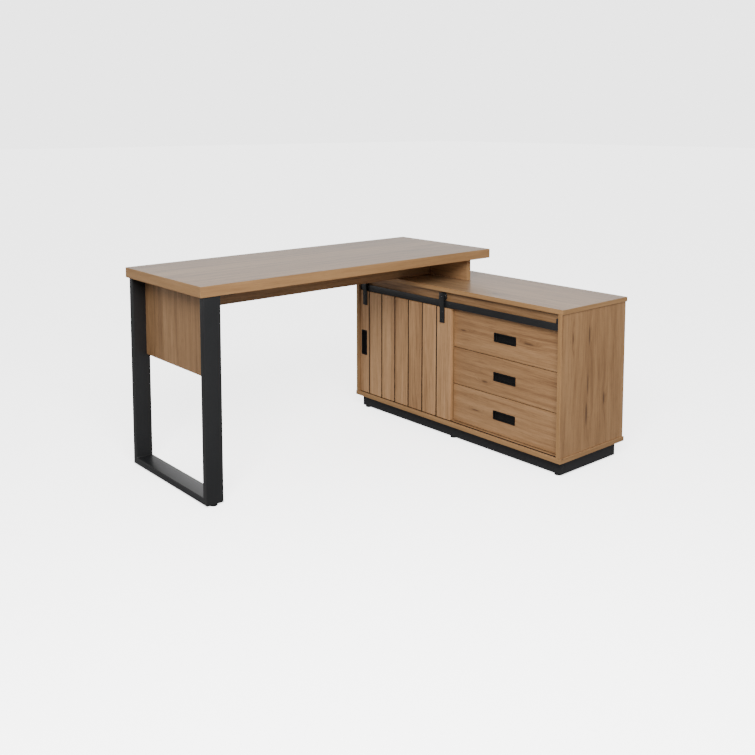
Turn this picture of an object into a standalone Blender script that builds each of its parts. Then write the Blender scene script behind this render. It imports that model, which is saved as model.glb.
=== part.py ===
"""Corner desk: a thick desk top on a steel leg frame and on a low cabinet set across its right end.

The cabinet has a planked sliding door that hangs on a flat rail, and three drawers.
Units are metres and +Z is up. Sizes are laid out from the left front corner of the desk top:
X runs along the desk, Y from its front edge to its rear edge, Z up from the floor. The whole
desk hangs on one empty, which at the end is moved so that the origin is on the floor, under
the middle of the desk's outer box.
"""
import bpy
import bmesh
from math import pi, tau
from mathutils import Euler, Matrix, Vector

# Gap between two pieces that touch.
GAP = 0.0003

# Desk top.
DESK_LENGTH = 1.400
DESK_DEPTH = 0.550
DESK_HEIGHT = 0.760
DESK_THICKNESS = 0.038
DESK_UNDERSIDE = DESK_HEIGHT - DESK_THICKNESS

# Glides and feet: a round pad on a threaded shank.
PAD_HEIGHT = 0.006
PAD_RADIUS = 0.014
SHANK_RADIUS = 0.004
SHANK_HOLE_RADIUS = 0.0043
SHANK_LENGTH = 0.014
FRAME_BASE = PAD_HEIGHT + GAP

# Leg frame: flat steel tube, its wide side along X.
TUBE_WIDTH = 0.066
TUBE_THICKNESS = 0.025
TUBE_WALL = 0.002
LEG_X = 0.012
LEG_FRONT_Y = 0.005
LEG_REAR_Y = DESK_DEPTH - LEG_FRONT_Y
TAB_LENGTH = 0.060
TAB_THICKNESS = 0.003

# Panels under the desk top.
END_PANEL_THICKNESS = 0.015
END_PANEL_BOTTOM = 0.425
APRON_THICKNESS = 0.015
APRON_FRONT_Y = 0.264
SUPPORT_X = 1.300
SUPPORT_THICKNESS = 0.022
SUPPORT_SETBACK = 0.038

# Cabinet carcass.
CABINET_X = 1.112
CABINET_DEPTH = 0.396
CABINET_NEAR_Y = -0.616
CABINET_FAR_Y = DESK_DEPTH
CABINET_HEIGHT = 0.6285
CABINET_BASE = 0.058
BOARD = 0.018
SIDE_INSET = 0.004
CABINET_REAR_X = CABINET_X + CABINET_DEPTH
SIDE_REAR_X = CABINET_REAR_X - SIDE_INSET
INNER_FAR_Y = CABINET_FAR_Y - SIDE_INSET - BOARD
INNER_NEAR_Y = CABINET_NEAR_Y + SIDE_INSET + BOARD
INNER_BOTTOM = CABINET_BASE + BOARD
INNER_TOP = CABINET_HEIGHT - BOARD
BACK_THICKNESS = 0.004
BACK_X = SIDE_REAR_X - 0.014
PARTITION_NEAR_Y = -0.044
PARTITION_FAR_Y = PARTITION_NEAR_Y + BOARD
SHELF_X = CABINET_X + 0.050
SHELF_Z = 0.310

# Plinth.
PLINTH_FRONT_INSET = 0.030
PLINTH_REAR_INSET = 0.036
PLINTH_END_INSET = 0.017
PLINTH_THICKNESS = 0.018
FOOT_FROM_FACE = 0.012
FOOT_FROM_END = 0.024

# Sliding door and its rail.
DOOR_FACE_X = CABINET_X + 0.0075
DOOR_THICKNESS = 0.018
DOOR_NEAR_Y = -0.044
DOOR_FAR_Y = 0.526
DOOR_BOTTOM = 0.080
DOOR_TOP = 0.5435
FIRST_GROOVE = 0.0606
PLANK_PITCH = 0.0858
PLANK_GROOVES = 6
GROOVE_WIDTH = 0.007
GROOVE_DEPTH = 0.005
RAIL_X = CABINET_X + 0.0085
RAIL_THICKNESS = 0.005
RAIL_BOTTOM = 0.5463
RAIL_TOP = 0.5731
RAIL_MIDDLE_X = RAIL_X + RAIL_THICKNESS / 2
HEADER_X = CABINET_X + 0.020
HEADER_BOTTOM = 0.5475
SPACER_RADIUS = 0.005
SPACER_Y = (-0.500, -0.034, 0.440)
STOP_LENGTH = 0.012
STOP_WIDTH = 0.009
STOP_HEIGHT = 0.018

# Hangers: strap, grooved roller and axle bolt.
HANGER_Y = {"left": 0.490, "right": 0.001}
STRAP_WIDTH = 0.026
STRAP_THICKNESS = 0.004
STRAP_BOTTOM = 0.481
STRAP_TOP = 0.605
JOGGLE_BOTTOM = 0.5445
JOGGLE_TOP = 0.5510
ROLLER_RADIUS = 0.018
ROLLER_GROOVE_RADIUS = 0.015
ROLLER_WIDTH = 0.010
ROLLER_Z = RAIL_TOP + ROLLER_GROOVE_RADIUS + GAP
AXLE_RADIUS = 0.003
ROLLER_BORE = 0.00312
STRAP_HOLE = 0.0033

# Door guide: pins under the door in a groove in the cabinet bottom.
GUIDE_X = CABINET_X + 0.0135
GUIDE_GROOVE_WIDTH = 0.010
GUIDE_GROOVE_DEPTH = 0.007
GUIDE_PIN_RADIUS = 0.004
GUIDE_PIN_BOTTOM = INNER_BOTTOM - 0.0055
GUIDE_PIN_Y = {"left": 0.500, "right": -0.020}

# Drawers, from the lowest to the highest: name, bottom and top of the front.
DRAWERS = (("bottom", 0.080, 0.232), ("middle", 0.235, 0.385), ("top", 0.388, 0.5445))
DRAWER_FACE_X = CABINET_X + 0.029
DRAWER_NEAR_Y = -0.5925
DRAWER_FAR_Y = -0.0460
DRAWER_BOX_LENGTH = 0.300
DRAWER_BOX_HEIGHT = 0.110
DRAWER_BOX_LIFT = 0.014
DRAWER_BOX_CLEARANCE = 0.005
DRAWER_WALL = 0.015
DRAWER_BOTTOM = 0.003
RUNNER_HEIGHT = 0.016
RUNNER_THICKNESS = 0.011
RUNNER_GROOVE_HEIGHT = 0.018
RUNNER_GROOVE_DEPTH = 0.007
RUNNER_SETBACK = 0.006

# Let-in pull, the same on the door and the drawers.
PULL_LENGTH = 0.113
PULL_WIDTH = 0.036
PULL_CORNER = 0.003
PULL_PROUD = 0.0015
PULL_RIM = 0.005
PULL_WALL = 0.0015
PULL_DEPTH = 0.0095
POCKET_PLAY = 0.0005
DRAWER_PULL_Y = -0.3185
DOOR_PULL_Y = 0.4975
DOOR_PULL_Z = 0.3075

# Turns for outlines drawn in X and Y.
ACROSS_X = (pi / 2, 0, pi / 2)
ACROSS_Y = (pi / 2, 0, 0)
ROUND_X = (0, pi / 2, 0)

for old in list(bpy.data.objects):
    bpy.data.objects.remove(old, do_unlink=True)

parts = bpy.data.collections.new("corner_desk")
cutters = bpy.data.collections.new("cutters")
bpy.context.scene.collection.children.link(parts)
bpy.context.scene.collection.children.link(cutters)


def finish(name, colour, roughness, metallic):
    """A plain material for one kind of piece."""
    material = bpy.data.materials.new(name)
    material.use_nodes = True
    shader = material.node_tree.nodes["Principled BSDF"]
    shader.inputs["Base Color"].default_value = (*colour, 1.0)
    shader.inputs["Roughness"].default_value = roughness
    shader.inputs["Metallic"].default_value = metallic
    return material


OAK = ((0.40, 0.25, 0.14), 0.55, 0.0)
OAK_GREY = ((0.42, 0.38, 0.33), 0.45, 0.0)
BLACK_STEEL = ((0.022, 0.023, 0.025), 0.45, 0.6)
BLACK_BOARD = ((0.026, 0.027, 0.029), 0.55, 0.0)
BLACK_PLASTIC = ((0.012, 0.012, 0.012), 0.50, 0.0)
BRIGHT_STEEL = ((0.45, 0.45, 0.46), 0.35, 1.0)
WHITE_BOARD = ((0.70, 0.69, 0.66), 0.60, 0.0)
BROWN_BACK = ((0.36, 0.24, 0.14), 0.65, 0.0)


def empty_at(name, place, parent=None):
    """An empty on a joint's axis, or at the desk's own origin."""
    empty = bpy.data.objects.new(name, None)
    empty.location = place
    parts.objects.link(empty)
    if parent:
        hang(empty, parent)
    return empty


def hang(piece, parent):
    """Parents a piece and keeps it where it stands."""
    piece.parent = parent
    above = parent
    while above:
        piece.location = piece.location - above.location
        above = above.parent


def keep(piece, name, look, parent):
    """Names a finished piece, gives it its own material and hangs it on its parent."""
    piece.name = name
    piece.data.name = name
    piece.data.materials.clear()
    piece.data.materials.append(finish(name, *look))
    for home in list(piece.users_collection):
        home.objects.unlink(piece)
    parts.objects.link(piece)
    hang(piece, parent)
    return piece


def block(low, high):
    """A box between two corners."""
    low, high = Vector(low), Vector(high)
    bpy.ops.mesh.primitive_cube_add(size=1, location=(low + high) / 2)
    piece = bpy.context.object
    piece.scale = high - low
    bpy.ops.object.transform_apply(location=False, rotation=False, scale=True)
    return piece


def rod(radius, start, end, sides):
    """A cylinder between two points that differ along one axis."""
    start, end = Vector(start), Vector(end)
    along = end - start
    turn = Vector((0, 0, 1)).rotation_difference(along).to_euler()
    bpy.ops.mesh.primitive_cylinder_add(vertices=sides, radius=radius, depth=along.length,
                                        location=(start + end) / 2, rotation=turn)
    piece = bpy.context.object
    piece.data.shade_smooth()
    piece.data.set_sharp_from_angle(angle=pi / 6)
    return piece


def extruded(outlines, thickness, place, turn):
    """A flat outline, with any holes in it as further outlines, drawn out to both sides."""
    curve = bpy.data.curves.new("outline", "CURVE")
    curve.dimensions = "2D"
    curve.fill_mode = "BOTH"
    curve.extrude = thickness / 2
    for outline in outlines:
        spline = curve.splines.new("POLY")
        spline.points.add(len(outline) - 1)
        spline.use_cyclic_u = True
        for point, corner in zip(spline.points, outline):
            point.co = (*corner, 0, 1)
    drawn = bpy.data.objects.new("outline", curve)
    drawn.location = place
    drawn.rotation_euler = turn
    parts.objects.link(drawn)
    bpy.context.view_layer.update()
    mesh = bpy.data.meshes.new_from_object(drawn.evaluated_get(bpy.context.evaluated_depsgraph_get()))
    shape = bmesh.new()
    shape.from_mesh(mesh)
    bmesh.ops.remove_doubles(shape, verts=shape.verts, dist=0.00001)
    bmesh.ops.recalc_face_normals(shape, faces=shape.faces)
    shape.to_mesh(mesh)
    shape.free()
    piece = bpy.data.objects.new("outline", mesh)
    piece.matrix_world = drawn.matrix_world
    parts.objects.link(piece)
    bpy.data.objects.remove(drawn, do_unlink=True)
    return piece


def turned(profile, place, turn, sides, closed=False):
    """A profile of (radius, height) points, outer side from top to bottom, spun round Z."""
    mesh = bpy.data.meshes.new("profile")
    edges = [(i, i + 1) for i in range(len(profile) - 1)]
    if closed:
        edges.append((len(profile) - 1, 0))
    mesh.from_pydata([(radius, 0, height) for radius, height in profile], edges, [])
    piece = bpy.data.objects.new("profile", mesh)
    piece.location = place
    piece.rotation_euler = turn
    parts.objects.link(piece)
    spin = piece.modifiers.new("spin", "SCREW")
    spin.angle = tau
    spin.steps = sides
    spin.render_steps = sides
    spin.use_smooth_shade = False
    spin.use_merge_vertices = True
    spin.merge_threshold = 0.00001
    return piece


def combine(piece, tool, operation="DIFFERENCE"):
    """Cuts a piece with a cutter, or joins the cutter to it."""
    for home in list(tool.users_collection):
        home.objects.unlink(tool)
    cutters.objects.link(tool)
    tool.name = "cutter"
    tool.hide_render = True
    tool.display_type = "WIRE"
    boolean = piece.modifiers.new("boolean", "BOOLEAN")
    boolean.operation = operation
    boolean.solver = "EXACT"
    boolean.object = tool
    hang(tool, desk)
    return piece


def board(name, low, high, look, parent):
    """A plain board, left without play only where nothing touches it."""
    return keep(block(low, high), name, look, parent)


desk = empty_at("corner_desk_origin", (0, 0, 0))

# ---- Desk top and the panels under it ----

board("desk_top", (0, 0, DESK_UNDERSIDE), (DESK_LENGTH, DESK_DEPTH, DESK_HEIGHT), OAK, desk)

end_panel_x = LEG_X + TUBE_WIDTH - END_PANEL_THICKNESS
board("leg_end_panel",
      (end_panel_x, LEG_FRONT_Y + TUBE_THICKNESS + GAP, END_PANEL_BOTTOM),
      (end_panel_x + END_PANEL_THICKNESS, LEG_REAR_Y - TUBE_THICKNESS - GAP, DESK_UNDERSIDE - GAP),
      OAK, desk)
board("apron_panel",
      (LEG_X + TUBE_WIDTH + GAP, APRON_FRONT_Y, CABINET_HEIGHT + GAP),
      (SUPPORT_X - GAP, APRON_FRONT_Y + APRON_THICKNESS, DESK_UNDERSIDE - GAP),
      OAK, desk)
board("support_panel",
      (SUPPORT_X, SUPPORT_SETBACK, CABINET_HEIGHT + GAP),
      (SUPPORT_X + SUPPORT_THICKNESS, DESK_DEPTH - SUPPORT_SETBACK, DESK_UNDERSIDE - GAP),
      OAK, desk)

# ---- Leg frame: a U of welded tube, open at the top ends, with a screw tab on each post ----


def u_outline(inset, top):
    """The U in Y and Z, its legs drawn to a given top and its tube shrunk by an inset."""
    front, rear, base = LEG_FRONT_Y + inset, LEG_REAR_Y - inset, FRAME_BASE + inset
    wide = TUBE_THICKNESS - 2 * inset
    return [(front, top), (front, base), (rear, base), (rear, top),
            (rear - wide, top), (rear - wide, base + wide),
            (front + wide, base + wide), (front + wide, top)]


leg_middle_x = LEG_X + TUBE_WIDTH / 2
leg_top = DESK_UNDERSIDE - GAP
leg_frame = extruded([u_outline(0, leg_top)], TUBE_WIDTH, (leg_middle_x, 0, 0), ACROSS_X)
hollow = extruded([u_outline(TUBE_WALL, leg_top + TUBE_WALL)], TUBE_WIDTH - 2 * TUBE_WALL,
                  (leg_middle_x, 0, 0), ACROSS_X)
combine(leg_frame, hollow)

glide_y = {"front": LEG_FRONT_Y + TUBE_THICKNESS / 2, "rear": LEG_REAR_Y - TUBE_THICKNESS / 2}
tab_inner_x = LEG_X + TUBE_WIDTH - TUBE_WALL / 2
tab_end_x = LEG_X + TUBE_WIDTH + TAB_LENGTH
for middle_y in glide_y.values():
    half = TUBE_THICKNESS / 2 - TUBE_WALL
    tab = block((tab_inner_x, middle_y - half, leg_top - TAB_THICKNESS),
                (tab_end_x, middle_y + half, leg_top))
    combine(leg_frame, tab, "UNION")
    screw_hole = rod(0.0025, (tab_end_x - 0.015, middle_y, leg_top - 0.010),
                     (tab_end_x - 0.015, middle_y, leg_top + 0.010), 12)
    combine(leg_frame, screw_hole)
    glide_hole = rod(SHANK_HOLE_RADIUS, (leg_middle_x, middle_y, 0),
                     (leg_middle_x, middle_y, FRAME_BASE + TUBE_WALL + 0.004), 16)
    combine(leg_frame, glide_hole)
keep(leg_frame, "leg_frame", BLACK_STEEL, desk)


def glide(name, x, y):
    """A round pad on its threaded shank, with its origin on the thread's axis."""
    shank_top = PAD_HEIGHT + SHANK_LENGTH
    profile = [(0, shank_top), (SHANK_RADIUS, shank_top), (SHANK_RADIUS, PAD_HEIGHT),
               (PAD_RADIUS, PAD_HEIGHT), (PAD_RADIUS, 0.0012), (PAD_RADIUS - 0.0012, 0), (0, 0)]
    keep(turned(profile, (x, y, 0), (0, 0, 0), 16), name, BLACK_PLASTIC, desk)


for end, y in glide_y.items():
    glide("leg_glide_" + end, leg_middle_x, y)

# ---- Cabinet carcass ----

board("cabinet_top", (CABINET_X, CABINET_NEAR_Y, INNER_TOP),
      (CABINET_REAR_X, CABINET_FAR_Y, CABINET_HEIGHT), OAK_GREY, desk)

cabinet_bottom = block((CABINET_X, CABINET_NEAR_Y, CABINET_BASE),
                       (CABINET_REAR_X, CABINET_FAR_Y, INNER_BOTTOM))
half_groove = GUIDE_GROOVE_WIDTH / 2
guide_groove = block((GUIDE_X - half_groove, INNER_NEAR_Y + GAP, INNER_BOTTOM - GUIDE_GROOVE_DEPTH),
                     (GUIDE_X + half_groove, INNER_FAR_Y - GAP, INNER_BOTTOM + 0.010))
combine(cabinet_bottom, guide_groove)
keep(cabinet_bottom, "cabinet_bottom", OAK, desk)

board("cabinet_side_left", (CABINET_X, INNER_FAR_Y, INNER_BOTTOM + GAP),
      (SIDE_REAR_X, INNER_FAR_Y + BOARD, INNER_TOP - GAP), OAK, desk)
board("cabinet_side_right", (CABINET_X, INNER_NEAR_Y - BOARD, INNER_BOTTOM + GAP),
      (SIDE_REAR_X, INNER_NEAR_Y, INNER_TOP - GAP), OAK, desk)
board("cabinet_back", (BACK_X, INNER_NEAR_Y + GAP, INNER_BOTTOM + GAP),
      (BACK_X + BACK_THICKNESS, INNER_FAR_Y - GAP, INNER_TOP - GAP), BROWN_BACK, desk)
board("cabinet_header", (HEADER_X, INNER_NEAR_Y + GAP, HEADER_BOTTOM),
      (HEADER_X + BOARD, INNER_FAR_Y - GAP, INNER_TOP - GAP), OAK, desk)
board("cabinet_shelf", (SHELF_X, PARTITION_FAR_Y + GAP, SHELF_Z),
      (BACK_X - GAP, INNER_FAR_Y - GAP, SHELF_Z + BOARD), OAK, desk)

# The partition is notched at its upper front corner for the header board.
notch_x = HEADER_X + BOARD + GAP
notch_z = HEADER_BOTTOM - GAP
partition_outline = [(DRAWER_FACE_X, INNER_BOTTOM + GAP), (BACK_X - GAP, INNER_BOTTOM + GAP),
                     (BACK_X - GAP, INNER_TOP - GAP), (notch_x, INNER_TOP - GAP),
                     (notch_x, notch_z), (DRAWER_FACE_X, notch_z)]
partition = extruded([partition_outline], BOARD,
                     (0, (PARTITION_NEAR_Y + PARTITION_FAR_Y) / 2, 0), ACROSS_Y)
keep(partition, "cabinet_partition", OAK, desk)

# ---- Plinth and feet ----

plinth_front_x = CABINET_X + PLINTH_FRONT_INSET
plinth_rear_x = CABINET_REAR_X - PLINTH_REAR_INSET
plinth_near_y = CABINET_NEAR_Y + PLINTH_END_INSET
plinth_far_y = CABINET_FAR_Y - PLINTH_END_INSET
plinth_top = CABINET_BASE - GAP
foot_y = {"left": plinth_far_y - FOOT_FROM_END,
          "middle": (PARTITION_NEAR_Y + PARTITION_FAR_Y) / 2,
          "right": plinth_near_y + FOOT_FROM_END}

for row, face_x, inwards in (("front", plinth_front_x, 1), ("rear", plinth_rear_x, -1)):
    inner_x = face_x + inwards * PLINTH_THICKNESS
    rail_board = block((min(face_x, inner_x), plinth_near_y, FRAME_BASE),
                       (max(face_x, inner_x), plinth_far_y, plinth_top))
    foot_x = face_x + inwards * FOOT_FROM_FACE
    for column, y in foot_y.items():
        shank_hole = rod(SHANK_HOLE_RADIUS, (foot_x, y, 0),
                         (foot_x, y, PAD_HEIGHT + SHANK_LENGTH + 0.001), 16)
        combine(rail_board, shank_hole)
        glide("cabinet_foot_%s_%s" % (row, column), foot_x, y)
    keep(rail_board, "plinth_" + row, BLACK_BOARD, desk)

for column, low_y in (("left", plinth_far_y - PLINTH_THICKNESS), ("right", plinth_near_y)):
    board("plinth_" + column,
          (plinth_front_x + PLINTH_THICKNESS + GAP, low_y, FRAME_BASE),
          (plinth_rear_x - PLINTH_THICKNESS - GAP, low_y + PLINTH_THICKNESS, plinth_top),
          BLACK_BOARD, desk)

# ---- Rail, its spacers and its stops ----

board("slide_rail", (RAIL_X, INNER_NEAR_Y + GAP, RAIL_BOTTOM),
      (RAIL_X + RAIL_THICKNESS, INNER_FAR_Y - GAP, RAIL_TOP), BLACK_STEEL, desk)
rail_middle_z = (RAIL_BOTTOM + RAIL_TOP) / 2
for place, y in zip(("right", "middle", "left"), SPACER_Y):
    spacer = rod(SPACER_RADIUS, (RAIL_X + RAIL_THICKNESS + GAP, y, rail_middle_z),
                 (HEADER_X - GAP, y, rail_middle_z), 12)
    keep(spacer, "rail_spacer_" + place, BLACK_STEEL, desk)
for place, low_y in (("left", INNER_FAR_Y - 0.002 - STOP_LENGTH), ("right", INNER_NEAR_Y + 0.002)):
    board("rail_stop_" + place,
          (RAIL_MIDDLE_X - STOP_WIDTH / 2, low_y, RAIL_TOP + GAP),
          (RAIL_MIDDLE_X + STOP_WIDTH / 2, low_y + STOP_LENGTH, RAIL_TOP + GAP + STOP_HEIGHT),
          BLACK_PLASTIC, desk)

# ---- Let-in pull ----


def pull_turn(roll):
    """The turn that sets a pull's front to -X, its length along Y, rolled about X."""
    return (Matrix.Rotation(roll, 3, "X") @ Euler(ACROSS_X).to_matrix()).to_euler()


def let_in_pull(name, face, roll, front, parent):
    """A rimmed cup let into a front board, and the pocket that it sits in."""
    shape = bmesh.new()
    bmesh.ops.create_cube(shape, size=1)
    bmesh.ops.scale(shape, verts=shape.verts, vec=(PULL_LENGTH, PULL_WIDTH, PULL_PROUD))
    corners = [e for e in shape.edges if abs(e.verts[0].co.z - e.verts[1].co.z) > PULL_PROUD / 2]
    rim_front = min(shape.faces, key=lambda face: face.normal.z)
    rim_back = max(shape.faces, key=lambda face: face.normal.z)
    steps = ((rim_front, PULL_RIM, PULL_PROUD + PULL_DEPTH),
             (rim_back, PULL_RIM - PULL_WALL, PULL_DEPTH + PULL_WALL))
    for side, inset, depth in steps:
        bmesh.ops.inset_region(shape, faces=[side], thickness=inset, use_even_offset=True)
        made = bmesh.ops.extrude_discrete_faces(shape, faces=[side])
        for pushed in made["faces"]:
            bmesh.ops.translate(shape, verts=pushed.verts, vec=(0, 0, depth))
    bmesh.ops.bevel(shape, geom=corners, offset=PULL_CORNER, affect="EDGES", segments=3,
                    profile=0.5, material=-1)
    bmesh.ops.translate(shape, verts=shape.verts, vec=(0, 0, -PULL_PROUD / 2 - GAP))
    mesh = bpy.data.meshes.new(name)
    shape.to_mesh(mesh)
    shape.free()
    pull = bpy.data.objects.new(name, mesh)
    pull.location = face
    pull.rotation_euler = pull_turn(roll)
    parts.objects.link(pull)

    cup_length = PULL_LENGTH - 2 * (PULL_RIM - PULL_WALL) + 2 * POCKET_PLAY
    cup_width = PULL_WIDTH - 2 * (PULL_RIM - PULL_WALL) + 2 * POCKET_PLAY
    pocket_depth = PULL_DEPTH + PULL_WALL + POCKET_PLAY
    reach = Vector((pocket_depth, cup_length / 2, cup_width / 2))
    if roll:
        reach = Vector((pocket_depth, cup_width / 2, cup_length / 2))
    combine(front, block(Vector(face) - reach, Vector(face) + reach))
    keep(pull, name, BLACK_PLASTIC, parent)


# ---- Sliding door: planked panel, hangers and guide pins ----

door = empty_at("door_slide", (DOOR_FACE_X, DOOR_FAR_Y, ROLLER_Z), desk)

door_back_x = DOOR_FACE_X + DOOR_THICKNESS
groove_floor_x = DOOR_FACE_X + GROOVE_DEPTH
door_outline = [(door_back_x, DOOR_FAR_Y), (DOOR_FACE_X, DOOR_FAR_Y)]
for number in range(PLANK_GROOVES):
    middle_y = DOOR_FAR_Y - FIRST_GROOVE - number * PLANK_PITCH
    high_y, low_y = middle_y + GROOVE_WIDTH / 2, middle_y - GROOVE_WIDTH / 2
    door_outline += [(DOOR_FACE_X, high_y), (groove_floor_x, high_y),
                     (groove_floor_x, low_y), (DOOR_FACE_X, low_y)]
door_outline += [(DOOR_FACE_X, DOOR_NEAR_Y), (door_back_x, DOOR_NEAR_Y)]
door_panel = extruded([door_outline], DOOR_TOP - DOOR_BOTTOM,
                      (0, 0, (DOOR_TOP + DOOR_BOTTOM) / 2), (0, 0, 0))
let_in_pull("door_pull", (DOOR_FACE_X, DOOR_PULL_Y, DOOR_PULL_Z), pi / 2, door_panel, door)
keep(door_panel, "door_panel", OAK, door)

strap_back_x = DOOR_FACE_X - GAP
strap_front_x = strap_back_x - STRAP_THICKNESS
upper_back_x = strap_front_x
upper_front_x = upper_back_x - STRAP_THICKNESS
strap_outline = [(strap_front_x, STRAP_BOTTOM), (strap_back_x, STRAP_BOTTOM),
                 (strap_back_x, JOGGLE_BOTTOM), (upper_back_x, JOGGLE_TOP),
                 (upper_back_x, STRAP_TOP), (upper_front_x, STRAP_TOP),
                 (upper_front_x, JOGGLE_TOP), (strap_front_x, JOGGLE_BOTTOM)]
half_roller = ROLLER_WIDTH / 2
groove_half = RAIL_THICKNESS / 2 + 0.0004
flank = groove_half + 0.0005
roller_profile = [(ROLLER_BORE, half_roller), (ROLLER_RADIUS, half_roller), (ROLLER_RADIUS, flank),
                  (ROLLER_GROOVE_RADIUS, groove_half), (ROLLER_GROOVE_RADIUS, -groove_half),
                  (ROLLER_RADIUS, -flank), (ROLLER_RADIUS, -half_roller),
                  (ROLLER_BORE, -half_roller)]
head_back = upper_front_x - GAP - RAIL_MIDDLE_X
head_front = head_back - 0.003
nut_front = half_roller + GAP
nut_back = nut_front + 0.0025
axle_profile = [(0, nut_back), (0.005, nut_back), (0.005, nut_front), (AXLE_RADIUS, nut_front),
                (AXLE_RADIUS, head_back), (0.0065, head_back), (0.0065, head_back - 0.0015),
                (0.0045, head_front), (0, head_front)]

for side, y in HANGER_Y.items():
    axis_point = (RAIL_MIDDLE_X, y, ROLLER_Z)
    strap = extruded([strap_outline], STRAP_WIDTH, (0, y, 0), ACROSS_Y)
    bolt_hole = rod(STRAP_HOLE, (upper_front_x - 0.005, y, ROLLER_Z),
                    (upper_back_x + 0.002, y, ROLLER_Z), 16)
    combine(strap, bolt_hole)
    keep(strap, "hanger_strap_" + side, BLACK_STEEL, door)
    axle = turned(axle_profile, axis_point, ROUND_X, 16)
    keep(axle, "roller_axle_" + side, BLACK_STEEL, door)
    spin_axis = empty_at("roller_%s_spin" % side, axis_point, door)
    roller = turned(roller_profile, axis_point, ROUND_X, 24, closed=True)
    keep(roller, "roller_" + side, BLACK_PLASTIC, spin_axis)

for side, y in GUIDE_PIN_Y.items():
    pin = rod(GUIDE_PIN_RADIUS, (GUIDE_X, y, GUIDE_PIN_BOTTOM), (GUIDE_X, y, DOOR_BOTTOM - GAP), 16)
    keep(pin, "door_guide_pin_" + side, BLACK_PLASTIC, door)

# ---- Drawers and their runners ----

box_x = DRAWER_FACE_X + BOARD + GAP
box_near_y = INNER_NEAR_Y + DRAWER_BOX_CLEARANCE
box_far_y = PARTITION_NEAR_Y - DRAWER_BOX_CLEARANCE
box_rear_x = box_x + DRAWER_BOX_LENGTH
box_outer = [(box_x, box_near_y), (box_rear_x, box_near_y),
             (box_rear_x, box_far_y), (box_x, box_far_y)]
box_inner = [(box_x + DRAWER_WALL, box_near_y + DRAWER_WALL),
             (box_rear_x - DRAWER_WALL, box_near_y + DRAWER_WALL),
             (box_rear_x - DRAWER_WALL, box_far_y - DRAWER_WALL),
             (box_x + DRAWER_WALL, box_far_y - DRAWER_WALL)]

for level, front_bottom, front_top in DRAWERS:
    slide = empty_at("drawer_%s_slide" % level,
                     (DRAWER_FACE_X, DRAWER_PULL_Y, (front_bottom + front_top) / 2), desk)
    front = block((DRAWER_FACE_X, DRAWER_NEAR_Y, front_bottom),
                  (DRAWER_FACE_X + BOARD, DRAWER_FAR_Y, front_top))
    pull_z = (front_bottom + front_top) / 2 - 0.002
    let_in_pull("drawer_pull_" + level, (DRAWER_FACE_X, DRAWER_PULL_Y, pull_z), 0, front, slide)
    keep(front, "drawer_front_" + level, OAK, slide)

    box_bottom = front_bottom + DRAWER_BOX_LIFT
    box_middle = box_bottom + DRAWER_BOX_HEIGHT / 2
    drawer_box = extruded([box_outer, box_inner], DRAWER_BOX_HEIGHT, (0, 0, box_middle), (0, 0, 0))
    for side, wall_y, inwards in (("right", INNER_NEAR_Y, 1), ("left", PARTITION_NEAR_Y, -1)):
        outer_y = wall_y + inwards * DRAWER_BOX_CLEARANCE
        floor_y = outer_y + inwards * RUNNER_GROOVE_DEPTH
        groove = block((box_x - 0.010, min(outer_y - inwards * 0.002, floor_y),
                        box_middle - RUNNER_GROOVE_HEIGHT / 2),
                       (box_rear_x + 0.010, max(outer_y - inwards * 0.002, floor_y),
                        box_middle + RUNNER_GROOVE_HEIGHT / 2))
        combine(drawer_box, groove)
        touch_y = wall_y + inwards * GAP
        tip_y = wall_y + inwards * RUNNER_THICKNESS
        board("runner_%s_%s" % (level, side),
              (box_x + RUNNER_SETBACK, min(touch_y, tip_y), box_middle - RUNNER_HEIGHT / 2),
              (box_rear_x - RUNNER_SETBACK, max(touch_y, tip_y), box_middle + RUNNER_HEIGHT / 2),
              BRIGHT_STEEL, desk)
    keep(drawer_box, "drawer_box_" + level, WHITE_BOARD, slide)
    board("drawer_bottom_" + level,
          (box_x, box_near_y, box_bottom - GAP - DRAWER_BOTTOM),
          (box_rear_x, box_far_y, box_bottom - GAP), WHITE_BOARD, slide)

# The desk's origin goes to the middle of its outer box, on the floor.
desk.location = (-CABINET_REAR_X / 2, -(CABINET_NEAR_Y + CABINET_FAR_Y) / 2, 0)
bpy.context.view_layer.update()
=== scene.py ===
from math import pi, radians, tau
import bmesh
import bpy
from mathutils import Matrix, Vector


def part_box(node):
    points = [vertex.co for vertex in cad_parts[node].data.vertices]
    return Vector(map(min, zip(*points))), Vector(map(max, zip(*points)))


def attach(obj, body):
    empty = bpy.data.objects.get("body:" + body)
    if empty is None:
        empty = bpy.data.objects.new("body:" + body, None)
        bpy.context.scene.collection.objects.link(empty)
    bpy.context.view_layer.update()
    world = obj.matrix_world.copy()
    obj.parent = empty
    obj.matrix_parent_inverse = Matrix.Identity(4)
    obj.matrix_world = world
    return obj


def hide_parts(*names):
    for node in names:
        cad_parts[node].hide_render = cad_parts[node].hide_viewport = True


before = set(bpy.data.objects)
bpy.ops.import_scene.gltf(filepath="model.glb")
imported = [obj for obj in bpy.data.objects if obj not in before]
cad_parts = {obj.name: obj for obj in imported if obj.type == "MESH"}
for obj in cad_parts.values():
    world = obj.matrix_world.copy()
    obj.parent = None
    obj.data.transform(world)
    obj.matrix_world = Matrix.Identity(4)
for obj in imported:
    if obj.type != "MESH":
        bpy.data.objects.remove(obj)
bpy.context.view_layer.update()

# ---- The studio ----
# A pale seamless floor in a white room whose far walls are the brighter ones, and one big soft
# panel on the sitter's side. The camera stands at eye height, off the leg's corner. It sees the
# floor and the room brighter than they light the desk.

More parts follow.
